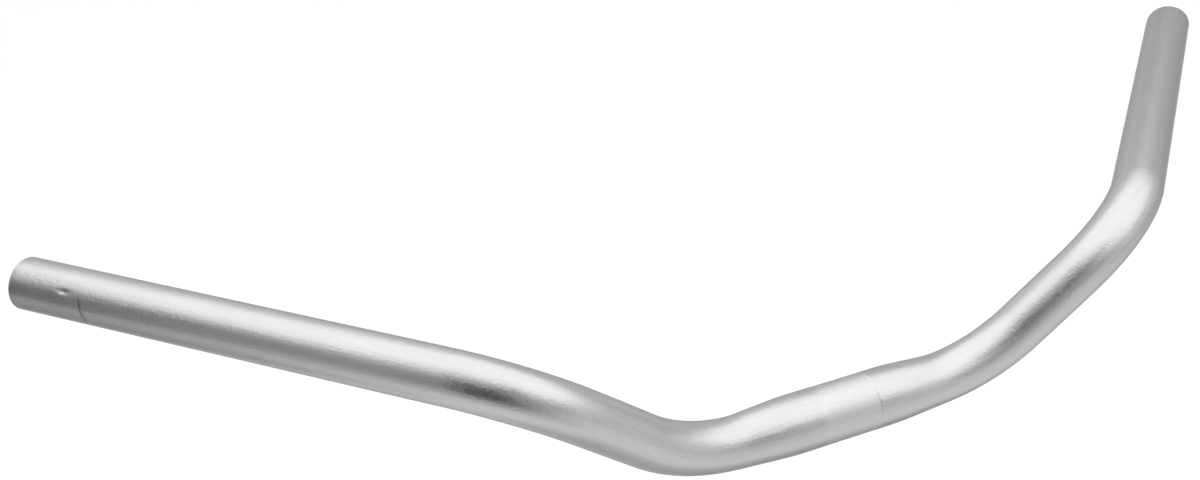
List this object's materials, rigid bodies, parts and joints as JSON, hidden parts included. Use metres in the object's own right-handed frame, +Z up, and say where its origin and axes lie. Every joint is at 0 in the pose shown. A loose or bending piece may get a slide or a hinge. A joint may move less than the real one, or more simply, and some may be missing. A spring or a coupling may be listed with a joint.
{
  "type": "bicycle handlebar",
  "caption": "Aluminium tube handlebar with a thicker clamped middle, rising from it on both sides and swept back to straight open grips.",
  "frame": {"origin": "centre of the clamped middle, on the tube's axis", "axes": "+X across the bike to the rider's left, +Y back to the rider, +Z up, as the bar is ridden"},
  "size_m": [0.617, 0.1723, 0.0816],
  "materials": {
    "satin_aluminium": "fine bead-blasted and clear anodised, satin, with a knurled band in the middle"
  },
  "bodies": {
    "root": {"handlebar": "satin_aluminium"}
  },
  "joints": []
}
